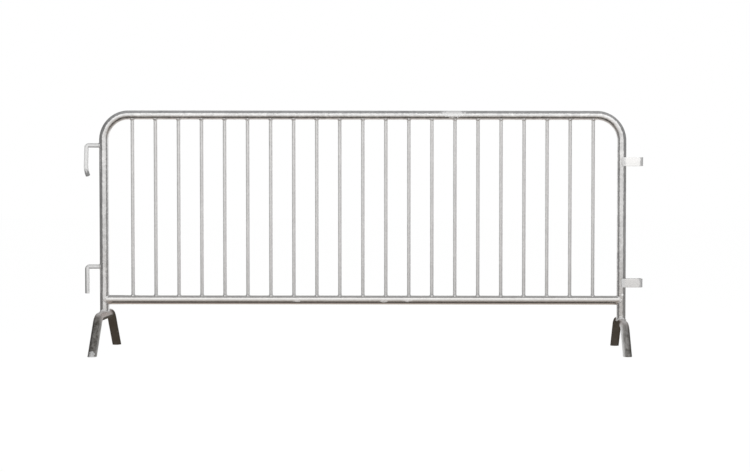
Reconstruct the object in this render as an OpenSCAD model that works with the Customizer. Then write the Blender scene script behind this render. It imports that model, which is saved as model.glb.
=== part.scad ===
// Interlocking crowd barrier of welded, galvanised steel: a bent tube frame, a bottom rail,
// upright bars, two hooks, two loops and two arched feet.
// Millimetres. The origin is on the ground, under the middle of the whole length.
// X runs along the panel from the hooks to the loops, Y across it to the back, Z up.

/* [Panel] */
// Height of the frame's top above the ground
panel_height = 1100; // [1020:5:1300]
// Distance between the axes of the two posts
post_spacing = 2370; // [1000:10:2600]
// Height of the bottom rail's axis above the ground
bottom_rail_height = 233; // [210:1:500]
// Radius of the frame's two top bends, at the tube's axis
frame_bend_radius = 115; // [50:1:130]
// Number of upright bars
bar_count = 21; // [5:1:35]
// Distance along the top rail from the end of a bend to the axis of the first bar
bar_margin = 16; // [15:1:60]

/* [Tubes] */
// Outside diameter of the frame tube
frame_d = 42; // [41:0.5:50]
// Wall of the frame tube
frame_wall = 2; // [1.5:0.1:4]
// Outside diameter of the bottom rail
rail_d = 42; // [30:0.5:42]
// Wall of the bottom rail
rail_wall = 2; // [1.5:0.1:4]
// Outside diameter of an upright bar
bar_d = 16; // [10:0.5:20]
// Wall of an upright bar
bar_wall = 1.2; // [1:0.1:3]
// Root gap between a coped end and the tube that it meets
fit_gap = 0.2; // [0.1:0.05:0.5]

/* [Hooks] */
// Diameter of the hooks' round bar
hook_d = 20; // [14:0.5:22]
// Distance from the post's axis to the axis of a hook's drop
hook_reach = 79; // [60:1:110]
// Inside radius of a hook's elbow
elbow_inside_radius = 1; // [0.5:0.5:12]
// Height of the upper hook's arm above the ground
upper_hook_height = 940; // [700:5:1040]
// Straight length of the upper hook's drop, below its elbow
upper_drop = 80; // [50:1:120]
// Lean of the upper hook's drop towards the front
upper_lean = 8; // [0:1:15]
// Radius of the bend at the upper hook's tip, at the bar's axis
tip_bend_radius = 70; // [30:1:120]
// Angle of the bend at the upper hook's tip
tip_angle = 35; // [10:1:45]
// Direction of the tip's bend, turned from the post towards the back
tip_turn = 68; // [0:1:90]
// Straight length at the end of the upper hook's tip
tip_length = 8; // [4:1:20]
// Height of the lower hook's arm above the ground
lower_hook_height = 385; // [340:5:600]
// Straight length of the lower hook's drop, below its elbow
lower_drop = 112; // [80:1:130]

/* [Loops] */
// Height of the flat strip that a loop is bent from
loop_height = 40; // [25:1:60]
// Thickness of the strip
loop_thickness = 5; // [3:0.5:8]
// Distance from the post's axis to the outer end of a loop
loop_reach = 96; // [75:1:140]
// Inside radius of a loop's two corners
loop_corner_radius = 8; // [2:0.5:15]
// Distance from a hook's arm down to the middle of the loop that it drops into
loop_below_hook = 72; // [45:1:90]

/* [Feet] */
// Outside diameter of the foot tube
foot_d = 40; // [34:0.5:42]
// Wall of the foot tube
foot_wall = 2.5; // [1.5:0.1:4]
// Height of the top of the left foot's arch above the ground
left_foot_top = 183; // [120:1:200]
// Height of the top of the right foot's arch above the ground
right_foot_top = 149; // [120:1:200]
// Distance between a foot's corners, where the axes of its legs meet the axis of its top
foot_corner_width = 276; // [200:1:360]
// Lean of a foot's legs from upright
leg_lean = 39; // [20:1:50]
// Radius of a foot's bends, at the tube's axis
foot_bend_radius = 65; // [45:1:90]
// Depth by which a post's end straddles the top of its foot
post_saddle = 7; // [3:0.5:9]

/* [Welds] */
// Leg of a weld bead
weld_leg = 4; // [2:0.5:5]
// Thickness of a bead where it runs out along a bar
weld_edge = 0.6; // [0.3:0.1:1.5]
// Clearance of a bead from the round sides that it lies on
bead_gap = 0.05; // [0.02:0.01:0.2]
// Distance by which the rail's front and back beads stop short of its top and bottom
weld_stop = 2; // [1:0.5:6]
// Width of the bead in the wedge between a loop's strip and its post
wedge_weld = 9; // [4:0.5:12]

/* [Hidden] */
$fn = 192;
// How far a cutter passes the face that it cuts, and a straight run reaches into a bend
overlap = 1;
// How much fuller a bend is than the straight runs that end inside it, on the diameter
bend_swell = 0.2;

frame_r = frame_d / 2;
foot_r = foot_d / 2;
top_axis_z = panel_height - frame_r;

// The posts, placed so that the origin is midway between the hooks' and the loops' outer ends
hook_outer = hook_reach + hook_d / 2;
panel_middle_x = (hook_outer - loop_reach) / 2;
left_post_x = panel_middle_x - post_spacing / 2;
right_post_x = panel_middle_x + post_spacing / 2;
left_post_end = left_foot_top - post_saddle;
right_post_end = right_foot_top - post_saddle;
quarter = 90;
bend_start_z = top_axis_z - frame_bend_radius;
frame_runs = [
    [bend_start_z - left_post_end, frame_bend_radius, quarter, 0],
    [post_spacing - 2 * frame_bend_radius, frame_bend_radius, quarter, 0],
    [bend_start_z - right_post_end]
];

// How far a circle about the left bend's middle lies to the right of the post's axis at a height
function bend_offset(height, radius) =
    let (rise = max(0, height - bend_start_z))
        frame_bend_radius - sqrt(radius * radius - rise * rise);
// The frame's axis and its outer side at a height, to the right of the left post's axis
function frame_axis_offset(height) = bend_offset(height, frame_bend_radius);
function frame_side_offset(height) = bend_offset(height, frame_bend_radius + frame_r);

// The bars, evenly spaced along the straight part of the top rail
first_bar = frame_bend_radius + bar_margin;
bar_pitch = (post_spacing - 2 * first_bar) / (bar_count - 1);
function bar_x(i) = left_post_x + first_bar + (i - 1) * bar_pitch;
function bar_name(i) = str("bar_", i < 10 ? "0" : "", i);

// The hooks, as runs of straight bar and bends from the frame's axis
elbow_radius = hook_d / 2 + elbow_inside_radius;
function hook_arm(height) = frame_axis_offset(height) + hook_reach - elbow_radius;
upper_hook_runs = [
    [hook_arm(upper_hook_height), elbow_radius, quarter, 0],
    [upper_drop, tip_bend_radius, tip_angle, -tip_turn],
    [tip_length]
];
lower_hook_runs = [[hook_arm(lower_hook_height), elbow_radius, quarter, 0], [lower_drop]];

// The loops, whose strips lie against the front and the back of the post
loop_inside = frame_d + 2 * fit_gap;
loop_outside = loop_inside + 2 * loop_thickness;
upper_loop_z = upper_hook_height - loop_below_hook;
lower_loop_z = lower_hook_height - loop_below_hook;

// The feet
leg_bend = quarter - leg_lean;
leg_tangent = foot_bend_radius * tan(leg_bend / 2);
leg_spare = foot_d;

zinc = [0.74, 0.75, 0.76];
bright_zinc = [0.82, 0.83, 0.84];
worn_zinc = [0.42, 0.40, 0.37];

// A round bar that starts at the origin along +Z and bends towards +X. Each run is
// [length, bend radius, bend angle, turn of the bend's plane], and the last has only a length.
module bent_rod(d, runs, i = 0) {
    before = i > 0 ? overlap : 0;
    after = i < len(runs) - 1 ? overlap : 0;
    translate([0, 0, -before]) cylinder(d = d, h = before + runs[i][0] + after);
    if (i < len(runs) - 1) {
        radius = runs[i][1];
        angle = runs[i][2];
        translate([0, 0, runs[i][0]]) rotate(runs[i][3]) {
            translate([radius, 0, 0]) rotate([90, 0, 180])
                rotate_extrude(angle = angle) translate([radius, 0]) circle(d = d + bend_swell);
            translate([radius * (1 - cos(angle)), 0, radius * sin(angle)])
                rotate([0, angle, 0]) bent_rod(d, runs, i + 1);
        }
    }
}

// The same runs, with the first and the last longer by the cutters' overlap
function lengthened(runs) = [
    for (i = [0 : len(runs) - 1])
        let (ends = (i == 0 ? overlap : 0) + (i == len(runs) - 1 ? overlap : 0))
            [runs[i][0] + ends, runs[i][1], runs[i][2], runs[i][3]]
];

// A tube along a rod's runs, open at both ends
module bent_tube(d, wall, runs) {
    difference() {
        bent_rod(d, runs);
        translate([0, 0, -overlap]) bent_rod(d - 2 * wall, lengthened(runs));
    }
}

// A straight tube along +Z, open at both ends
module tube(d, wall, length) {
    bent_tube(d, wall, [[length]]);
}

// Solid cylinders along the axes of the pieces, which cope and trim their neighbours
module along_x(d, length) {
    rotate([0, 90, 0]) cylinder(d = d, h = length, center = true);
}
module along_y(d, length) {
    rotate([90, 0, 0]) cylinder(d = d, h = length, center = true);
}
module post_cutter(x) {
    translate([x, 0, 0]) cylinder(d = frame_d + 2 * fit_gap, h = top_axis_z);
}
module frame_cutter(d) {
    translate([left_post_x, 0, left_post_end]) bent_rod(d, frame_runs);
}
module foot_top_cutter(x, top) {
    translate([x, 0, top - foot_r]) along_y(foot_d + 2 * fit_gap, foot_corner_width);
}

module frame_tube() {
    color(zinc) difference() {
        translate([left_post_x, 0, left_post_end]) bent_tube(frame_d, frame_wall, frame_runs);
        foot_top_cutter(left_post_x, left_foot_top);
        foot_top_cutter(right_post_x, right_foot_top);
    }
}

module bottom_rail() {
    color(zinc) difference() {
        translate([left_post_x, 0, bottom_rail_height]) rotate([0, 90, 0])
            tube(rail_d, rail_wall, post_spacing);
        post_cutter(left_post_x);
        post_cutter(right_post_x);
    }
}

module bar(i) {
    color(zinc) translate([bar_x(i), 0, 0]) difference() {
        translate([0, 0, bottom_rail_height])
            tube(bar_d, bar_wall, top_axis_z - bottom_rail_height);
        translate([0, 0, bottom_rail_height]) along_x(rail_d + 2 * fit_gap, 2 * bar_d);
        translate([0, 0, top_axis_z]) along_x(frame_d + 2 * fit_gap, 2 * bar_d);
    }
}

// Places what stands along +Z at the origin along a hook's arm, from the frame's axis outwards
module on_hook_arm(height) {
    translate([left_post_x + frame_axis_offset(height), 0, height]) rotate([0, -90, 0]) children();
}

// A hook, whose arm leaves the frame at a height, with its drop leaning to the front
module hook(height, lean, runs) {
    color(bright_zinc) difference() {
        on_hook_arm(height) rotate(180 + lean) bent_rod(hook_d, runs);
        frame_cutter(frame_d + 2 * fit_gap);
    }
}
module upper_hook() {
    hook(upper_hook_height, upper_lean, upper_hook_runs);
}
module lower_hook() {
    hook(lower_hook_height, 0, lower_hook_runs);
}

// A strip from the post's axis with two rounded corners at its far end, as an outline
module rounded_end(length, width, radius) {
    translate([0, -width / 2]) square([length - radius, width]);
    translate([0, -width / 2 + radius]) square([length, width - 2 * radius]);
    for (side = [-1, 1])
        translate([length - radius, side * (width / 2 - radius)]) circle(r = radius);
}

module loop(height) {
    color(bright_zinc) translate([right_post_x, 0, height - loop_height / 2])
        linear_extrude(loop_height) difference() {
            rounded_end(loop_reach, loop_outside, loop_corner_radius + loop_thickness);
            translate([-overlap, 0])
                rounded_end(loop_reach - loop_thickness + overlap, loop_inside, loop_corner_radius);
        }
}
module upper_loop() {
    loop(upper_loop_z);
}
module lower_loop() {
    loop(lower_loop_z);
}

// A foot, bent from one tube under a post, with its legs cut level with the ground
module foot(x, top) {
    axis_z = top - foot_r;
    leg_rise = axis_z + leg_spare;
    leg = leg_rise / cos(leg_lean) - leg_tangent;
    start_y = foot_corner_width / 2 + leg_rise * tan(leg_lean);
    runs = [
        [leg, foot_bend_radius, leg_bend, 0],
        [foot_corner_width - 2 * leg_tangent, foot_bend_radius, leg_bend, 0],
        [leg]
    ];
    cut = 2 * leg_spare;
    color(worn_zinc) difference() {
        translate([x, -start_y, -leg_spare]) rotate(quarter) rotate([0, leg_lean, 0])
            bent_tube(foot_d, foot_wall, runs);
        translate([x - foot_d, -start_y - foot_d, -cut])
            cube([2 * foot_d, 2 * (start_y + foot_d), cut]);
    }
}
module left_foot() {
    foot(left_post_x, left_foot_top);
}
module right_foot() {
    foot(right_post_x, right_foot_top);
}

// Collar around a bar along +Z, which tapers above the seat
module collar(d, seat) {
    difference() {
        union() {
            cylinder(d = d + 2 * weld_leg, h = seat);
            translate([0, 0, seat])
                cylinder(d1 = d + 2 * weld_leg, d2 = d + 2 * weld_edge, h = weld_leg);
        }
        cylinder(d = d + 2 * bead_gap, h = seat + weld_leg + overlap);
    }
}

// Bead around a bar along +Z, where it stands on the side of a tube along X
module bar_bead(d, tube_d) {
    difference() {
        collar(d, tube_d / 2);
        along_x(tube_d + 2 * bead_gap, 2 * (d + 2 * weld_leg));
    }
}

// Two half beads along the saddle where a tube along +Z, whose end is at a level, meets one
// along X. They lie either side of the plane of the two axes and stop short of it.
module saddle_beads(d, tube_d, end, lowest, stop) {
    reach = tube_d / 2 + weld_leg;
    for (side = [0, 1]) mirror([0, side, 0]) difference() {
        intersection() {
            translate([-d, stop, lowest]) cube([2 * d, d, reach]);
            cylinder(d = d + 2 * weld_leg, h = reach + overlap);
            along_x(tube_d + 2 * weld_leg, 2 * d);
        }
        translate([0, 0, end - bead_gap])
            cylinder(d = d + 2 * bead_gap, h = reach - end + overlap);
        along_x(tube_d + 2 * bead_gap, 2 * d + overlap);
    }
}

module bar_top_welds() {
    color(bright_zinc) for (i = [1 : bar_count])
        translate([bar_x(i), 0, top_axis_z]) rotate([180, 0, 0]) bar_bead(bar_d, frame_d);
}
module bar_bottom_welds() {
    color(bright_zinc) for (i = [1 : bar_count])
        translate([bar_x(i), 0, bottom_rail_height]) bar_bead(bar_d, rail_d);
}
module rail_welds() {
    color(bright_zinc) {
        translate([left_post_x, 0, bottom_rail_height]) rotate([0, 90, 0])
            saddle_beads(rail_d, frame_d, 0, weld_leg, weld_stop);
        translate([right_post_x, 0, bottom_rail_height]) rotate([0, -90, 0])
            saddle_beads(rail_d, frame_d, 0, weld_leg, weld_stop);
    }
}
module foot_welds() {
    end = foot_r - post_saddle;
    color(bright_zinc) {
        translate([left_post_x, 0, left_foot_top - foot_r]) rotate(quarter)
            saddle_beads(frame_d, foot_d, end, end - weld_leg, 0);
        translate([right_post_x, 0, right_foot_top - foot_r]) rotate(quarter)
            saddle_beads(frame_d, foot_d, end, end - weld_leg, 0);
    }
}
module hook_welds() {
    color(bright_zinc) for (height = [upper_hook_height, lower_hook_height]) difference() {
        on_hook_arm(height)
            collar(hook_d, frame_axis_offset(height) - frame_side_offset(height));
        frame_cutter(frame_d + 2 * bead_gap);
    }
}

// Outlines of the beads at the front strip of a loop: at its end, and in the wedge behind it
module strip_beads() {
    difference() {
        union() {
            polygon([
                [0, -loop_inside / 2 - weld_leg],
                [0, 0],
                [-wedge_weld, 0],
                [-wedge_weld, -frame_r]
            ]);
            translate([weld_leg, -loop_inside / 2]) square([wedge_weld, frame_r]);
        }
        circle(r = frame_r + bead_gap);
    }
}
module loop_welds() {
    bead = loop_height - 2 * weld_leg;
    color(bright_zinc) for (height = [upper_loop_z, lower_loop_z], side = [0, 1])
        translate([right_post_x, 0, height - bead / 2]) mirror([0, side, 0])
            linear_extrude(bead) strip_beads();
}

frame_tube();
bottom_rail();
for (i = [1 : bar_count]) bar(i);
upper_hook();
lower_hook();
upper_loop();
lower_loop();
left_foot();
right_foot();
bar_top_welds();
bar_bottom_welds();
rail_welds();
foot_welds();
hook_welds();
loop_welds();
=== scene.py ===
"""Looks of a galvanised crowd barrier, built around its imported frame.

Each tube, bar, hook, loop, foot and weld is modelled afresh in the place of the frame's own node,
with smooth bends, true walls, coped ends and rippled welds, and dressed in a zinc finish.
Metres. X runs along the panel from the hooks to the loops, Y across it to the back, Z up.
"""

from __future__ import annotations

import logging
import math
from dataclasses import dataclass, replace
from enum import Enum
from functools import reduce
from typing import Callable, ClassVar, Sequence

import bmesh
import bpy
from mathutils import Matrix, Vector

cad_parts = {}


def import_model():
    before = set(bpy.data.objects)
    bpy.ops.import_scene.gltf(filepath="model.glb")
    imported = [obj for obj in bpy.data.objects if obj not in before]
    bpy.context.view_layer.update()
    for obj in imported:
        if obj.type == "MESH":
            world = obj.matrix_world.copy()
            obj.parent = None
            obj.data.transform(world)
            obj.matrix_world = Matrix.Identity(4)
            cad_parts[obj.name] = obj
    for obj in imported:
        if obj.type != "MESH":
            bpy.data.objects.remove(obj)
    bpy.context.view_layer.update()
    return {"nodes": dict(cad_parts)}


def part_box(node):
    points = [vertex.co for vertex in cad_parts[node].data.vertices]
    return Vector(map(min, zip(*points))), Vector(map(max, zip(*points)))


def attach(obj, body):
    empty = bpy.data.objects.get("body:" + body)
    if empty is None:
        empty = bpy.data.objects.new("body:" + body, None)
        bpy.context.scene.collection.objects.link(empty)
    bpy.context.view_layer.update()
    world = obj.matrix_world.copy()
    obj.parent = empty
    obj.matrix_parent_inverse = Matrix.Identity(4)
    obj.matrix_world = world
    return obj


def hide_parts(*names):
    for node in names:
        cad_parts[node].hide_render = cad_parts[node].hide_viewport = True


LOG = logging.getLogger("barrier")
BODY = "root"
IMAGE_WIDTH = 750

Piece = bpy.types.Object
Material = bpy.types.Material
Socket = bpy.types.NodeSocket
Value = bpy.types.NodeSocket | float
Colour = tuple[float, float, float]
Span = tuple[float, ...]

RIGHT = Vector((1.0, 0.0, 0.0))
BACK = Vector((0.0, 1.0, 0.0))
UP = Vector((0.0, 0.0, 1.0))
QUARTER = math.pi / 2
WHITE: Colour = (1.0, 1.0, 1.0)
HOOK_NODES = ("upper_hook", "lower_hook")
LOOP_NODES = ("upper_loop", "lower_loop")
FOOT_NODES = ("left_foot", "right_foot")


def to_mm(length: float) -> float:
    """A length rounded to a whole millimetre."""
    return round(length, 3)


def grey(level: float) -> Colour:
    """A grey from 0 for black to 1 for white."""
    return (level, level, level)


def middle(node: str) -> Vector:
    """The middle of a node of the frame."""
    low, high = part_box(node)
    return (low + high) / 2


def half_size(node: str) -> Vector:
    """Half the size of a node of the frame, along each axis."""
    low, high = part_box(node)
    return (high - low) / 2


def half_chord(radius: float, off: float) -> float:
    """Half the length of the chord of a circle that lies off its middle."""
    return math.sqrt(max(0.0, radius**2 - off**2))


def finished_name(node: str) -> str:
    """The name of the piece that stands for a node."""
    return f"{node}_galvanised"


class Workbench:
    """Edit-mode operators that shape one new mesh at a time."""

    MERGE = 1e-6
    SMOOTH_ANGLE = math.radians(40)
    SHARP_ANGLE = math.radians(60)
    ROUND_STEPS = 2

    @staticmethod
    def clear() -> None:
        """Leave edit mode and deselect every object."""
        if bpy.context.mode != "OBJECT":
            bpy.ops.object.mode_set(mode="OBJECT")
        bpy.ops.object.select_all(action="DESELECT")

    @staticmethod
    def open_primitive(name: str) -> Piece:
        """Name the primitive that was just added and open it in edit mode, all selected.

        Args:
            name: The name of the new piece.

        Returns:
            The piece, with its place applied to its mesh.
        """
        piece = bpy.context.active_object
        piece.name = name
        piece.data.name = name
        bpy.ops.object.transform_apply(location=True, rotation=True, scale=True)
        bpy.ops.object.mode_set(mode="EDIT")
        bpy.ops.mesh.select_all(action="SELECT")
        return piece

    @classmethod
    def ring(cls, name: str, radius: float, place: Vector, heading: Vector, sides: int) -> Piece:
        """Start a round tube or bar with an empty ring.

        Args:
            name: The name of the new piece.
            radius: The ring's radius.
            place: The ring's middle.
            heading: The direction that the ring faces.
            sides: The number of its vertices.

        Returns:
            The piece in edit mode, with the ring selected.
        """
        cls.clear()
        turn = UP.rotation_difference(heading).to_euler()
        bpy.ops.mesh.primitive_circle_add(
            vertices=sides, radius=radius, fill_type="NOTHING", location=place, rotation=turn
        )
        return cls.open_primitive(name)

    @classmethod
    def strip_end(cls, name: str, thickness: float, height: float, place: Vector) -> Piece:
        """Start a flat strip along X with the four edges of its end.

        Args:
            name: The name of the new piece.
            thickness: The strip's size along Y.
            height: The strip's size along Z.
            place: The middle of the end.

        Returns:
            The piece in edit mode, with the four edges selected.
        """
        cls.clear()
        bpy.ops.mesh.primitive_plane_add(size=1, location=place, rotation=(0, QUARTER, 0))
        bpy.context.active_object.scale = (height, thickness, 1)
        piece = cls.open_primitive(name)
        bpy.ops.mesh.delete(type="ONLY_FACE")
        bpy.ops.mesh.select_all(action="SELECT")
        return piece

    @staticmethod
    def extrude(step: Vector) -> None:
        """Extrude the selected ring by a step."""
        bpy.ops.mesh.extrude_region_move(TRANSFORM_OT_translate={"value": step})

    @staticmethod
    def spin(centre: Vector, axis: Vector, angle: float, steps: int) -> None:
        """Sweep the selected ring about an axis, by the right-hand rule."""
        bpy.ops.mesh.spin(steps=steps, angle=-angle, center=centre, axis=axis)

    @staticmethod
    def reshape(piece: Piece, move: Callable[[Vector], Vector]) -> None:
        """Move each vertex of a piece in edit mode.

        Args:
            piece: The piece that is open in edit mode.
            move: Gives a vertex's new place from its old one.
        """
        mesh = bmesh.from_edit_mesh(piece.data)
        for vertex in mesh.verts:
            vertex.co = move(vertex.co)
        bmesh.update_edit_mesh(piece.data)

    @staticmethod
    def keep_selected(piece: Piece, wanted: Callable[[Vector], bool]) -> None:
        """Of the selected edges, leave only those with both ends where a test wants them.

        Args:
            piece: The piece that is open in edit mode.
            wanted: Tells whether a vertex's place is wanted.
        """
        mesh = bmesh.from_edit_mesh(piece.data)
        chosen = [
            edge for edge in mesh.edges if edge.select and all(wanted(v.co) for v in edge.verts)
        ]
        bpy.ops.mesh.select_all(action="DESELECT")
        for edge in chosen:
            edge.select_set(True)
        bmesh.update_edit_mesh(piece.data)

    @classmethod
    def face_outwards(cls) -> None:
        """Merge the doubles of the piece in edit mode and turn its faces outwards."""
        bpy.ops.mesh.select_all(action="SELECT")
        bpy.ops.mesh.remove_doubles(threshold=cls.MERGE)
        bpy.ops.mesh.normals_make_consistent(inside=False)

    @classmethod
    def fill_ends(cls) -> None:
        """Close the open ends of the piece in edit mode."""
        bpy.ops.mesh.select_all(action="DESELECT")
        bpy.ops.mesh.select_non_manifold()
        bpy.ops.mesh.fill_holes(sides=0)
        cls.face_outwards()

    @staticmethod
    def apply(piece: Piece, kind: str, **settings: object) -> None:
        """Add a modifier to the active piece and apply it.

        Args:
            piece: The active piece, in object mode.
            kind: The modifier's type.
            settings: Values of the modifier's own fields.
        """
        modifier = piece.modifiers.new(kind.lower(), kind)
        for name, value in settings.items():
            setattr(modifier, name, value)
        bpy.ops.object.modifier_apply(modifier=modifier.name)

    @classmethod
    def thicken(cls, piece: Piece, wall: float) -> None:
        """Give the open shell in edit mode a wall towards its inside.

        Args:
            piece: The shell.
            wall: The thickness of its wall.
        """
        cls.face_outwards()
        bpy.ops.object.mode_set(mode="OBJECT")
        cls.apply(piece, "SOLIDIFY", thickness=wall, offset=-1.0, use_even_offset=True)

    @classmethod
    def round_edges(cls, piece: Piece, width: float) -> None:
        """Leave edit mode and round the piece's sharp edges.

        Args:
            piece: The piece.
            width: How far the rounding reaches from an edge.
        """
        bpy.ops.object.mode_set(mode="OBJECT")
        angle = cls.SHARP_ANGLE
        steps = cls.ROUND_STEPS
        cls.apply(
            piece, "BEVEL", width=width, segments=steps, limit_method="ANGLE", angle_limit=angle
        )

    @classmethod
    def settle(cls, piece: Piece) -> Piece:
        """Leave edit mode and shade the piece smooth up to an angle.

        Args:
            piece: The piece.

        Returns:
            The same piece.
        """
        if bpy.context.mode != "OBJECT":
            bpy.ops.object.mode_set(mode="OBJECT")
        bpy.ops.object.shade_smooth_by_angle(angle=cls.SMOOTH_ANGLE)
        return piece

    @staticmethod
    def copy(piece: Piece, name: str, move: Matrix) -> Piece:
        """Copy a piece with a mesh of its own.

        Args:
            piece: The piece to copy.
            name: The copy's name.
            move: Where the copy's mesh goes, from the piece's own place.

        Returns:
            The copy.
        """
        copy = piece.copy()
        copy.data = piece.data.copy()
        copy.name = name
        copy.data.name = name
        copy.data.transform(move)
        bpy.context.scene.collection.objects.link(copy)
        return copy

    @classmethod
    def join(cls, pieces: Sequence[Piece], name: str) -> Piece:
        """Join pieces into one object, each still a closed shell of its own.

        Args:
            pieces: The pieces to join.
            name: The joined object's name.

        Returns:
            The joined object.
        """
        cls.clear()
        for piece in pieces:
            piece.select_set(True)
        joined = pieces[0]
        bpy.context.view_layer.objects.active = joined
        bpy.ops.object.join()
        joined.name = name
        joined.data.name = name
        return joined


@dataclass
class Route:
    """The line that a selected ring is drawn along, by straight runs and bends."""

    place: Vector
    heading: Vector

    def run(self, length: float) -> None:
        """Draw the ring straight ahead.

        Args:
            length: How far.
        """
        step = self.heading * length
        Workbench.extrude(step)
        self.place = self.place + step

    def bend(self, towards: Vector, radius: float, angle: float, steps: int) -> None:
        """Draw the ring round a bend.

        Args:
            towards: The direction from the line to the bend's middle.
            radius: The bend's radius at the line.
            angle: The angle of the bend.
            steps: The number of rings along it.
        """
        centre = self.place + towards * radius
        axis = self.heading.cross(towards).normalized()
        Workbench.spin(centre, axis, angle, steps)
        turn = Matrix.Rotation(angle, 3, axis)
        self.place = centre + turn @ (self.place - centre)
        self.heading = turn @ self.heading


class Grain(Enum):
    """The direction in which the zinc ran, as how closely its streaks are spaced along X, Y, Z."""

    ALONG_X = (0.05, 1.0, 1.0)
    ALONG_Z = (1.0, 1.0, 0.05)
    ALONG_LEGS = (1.0, 0.12, 0.12)
    NONE = (1.0, 1.0, 1.0)


@dataclass(frozen=True)
class Patch:
    """A patch of another colour on a piece, with a ragged, hazy edge."""

    half_size: Vector
    share: float
    middle: Vector = Vector()
    colour: Colour = grey(0.93)
    grain: float = 0.009
    ragged: float = 1.6
    haze: float = 0.6

    def at(self, place: Vector) -> Patch:
        """The same patch, with its middle counted from a place."""
        return replace(self, middle=self.middle + place)


class NodeDesk:
    """A node tree that starts empty, with short calls for the nodes that it needs."""

    def __init__(self, tree: bpy.types.NodeTree) -> None:
        """Empty the tree."""
        self.tree = tree
        tree.nodes.clear()

    def add(self, kind: str, **settings: object) -> bpy.types.Node:
        """Add a node.

        Args:
            kind: The node's type.
            settings: Values of the node's own fields.

        Returns:
            The node.
        """
        node = self.tree.nodes.new(kind)
        for name, value in settings.items():
            setattr(node, name, value)
        return node

    def feed(self, socket: Socket, value: object) -> None:
        """Link a socket to another one, or set its value.

        Args:
            socket: The socket to feed.
            value: The other socket, or the value.
        """
        if isinstance(value, bpy.types.NodeSocket):
            self.tree.links.new(value, socket)
        else:
            socket.default_value = value

    def sum_up(self, operation: str, first: Value, second: Value = 0.0) -> Socket:
        """Put two values together.

        Args:
            operation: How, such as ADD.
            first: The first value.
            second: The second value.

        Returns:
            The result.
        """
        node = self.add("ShaderNodeMath", operation=operation)
        self.feed(node.inputs[0], first)
        self.feed(node.inputs[1], second)
        return node.outputs[0]

    def all_of(self, *shares: Socket) -> Socket:
        """The product of shares, for what lies in every one of them."""
        return reduce(lambda first, second: self.sum_up("MULTIPLY", first, second), shares)

    def any_of(self, *shares: Socket) -> Socket:
        """The largest of shares, for what lies in one of them or more."""
        return reduce(lambda first, second: self.sum_up("MAXIMUM", first, second), shares)

    def move(self, operation: str, first: Socket, second: Vector) -> bpy.types.NodeOutputs:
        """Put a vector together with a fixed one.

        Args:
            operation: How, such as SUBTRACT.
            first: The vector.
            second: The fixed vector.

        Returns:
            The results, as a vector and as a value.
        """
        node = self.add("ShaderNodeVectorMath", operation=operation)
        self.feed(node.inputs[0], first)
        node.inputs[1].default_value = second
        return node.outputs

    def along(self, vector: Socket, axis: str) -> Socket:
        """How far a vector reaches along an axis.

        Args:
            vector: The vector.
            axis: The axis, such as X.

        Returns:
            The distance.
        """
        node = self.add("ShaderNodeSeparateXYZ")
        self.feed(node.inputs[0], vector)
        return node.outputs[axis]

    def between(self, value: Socket, low: float, high: float, top: float = 1.0) -> Socket:
        """A smooth step.

        Args:
            value: The value that it follows.
            low: The value where it is 0.
            high: The value where it is at its top, above or below the low one.
            top: How large it gets.

        Returns:
            The step.
        """
        node = self.add("ShaderNodeMapRange", interpolation_type="SMOOTHSTEP")
        self.feed(node.inputs["Value"], value)
        node.inputs["From Min"].default_value = low
        node.inputs["From Max"].default_value = high
        node.inputs["To Max"].default_value = top
        return node.outputs["Result"]

    def ramp(self, value: Socket, stops: Sequence[tuple[float, Colour]]) -> Socket:
        """Colours along a value.

        Args:
            value: The value to colour.
            stops: Each colour with the value where it stands.

        Returns:
            The colour.
        """
        node = self.add("ShaderNodeValToRGB")
        elements = node.color_ramp.elements
        while len(elements) < len(stops):
            elements.new(0.5)
        for element, (position, colour) in zip(elements, stops):
            element.position = position
            element.color = (*colour, 1.0)
        self.feed(node.inputs["Fac"], value)
        return node.outputs["Color"]

    def light(self, kind: str, colour: Socket | Colour, strength: Value) -> Socket:
        """A glowing shader.

        Args:
            kind: The shader's type.
            colour: The colour of its light.
            strength: How strong the light is.

        Returns:
            The shader.
        """
        node = self.add(kind)
        self.feed(node.inputs["Color"], (*colour, 1.0) if isinstance(colour, tuple) else colour)
        self.feed(node.inputs["Strength"], strength)
        return node.outputs[0]

    def mix(self, share: Value, first: Socket, second: Socket) -> Socket:
        """A shader that turns into a second one.

        Args:
            share: The share of the second one.
            first: The first shader.
            second: The second shader.

        Returns:
            The mixed shader.
        """
        node = self.add("ShaderNodeMixShader")
        for socket, value in zip(node.inputs, (share, first, second)):
            self.feed(socket, value)
        return node.outputs[0]

    def show(self, kind: str, shader: Socket) -> None:
        """Send a shader to an output of a kind."""
        self.feed(self.add(kind).inputs["Surface"], shader)


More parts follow.
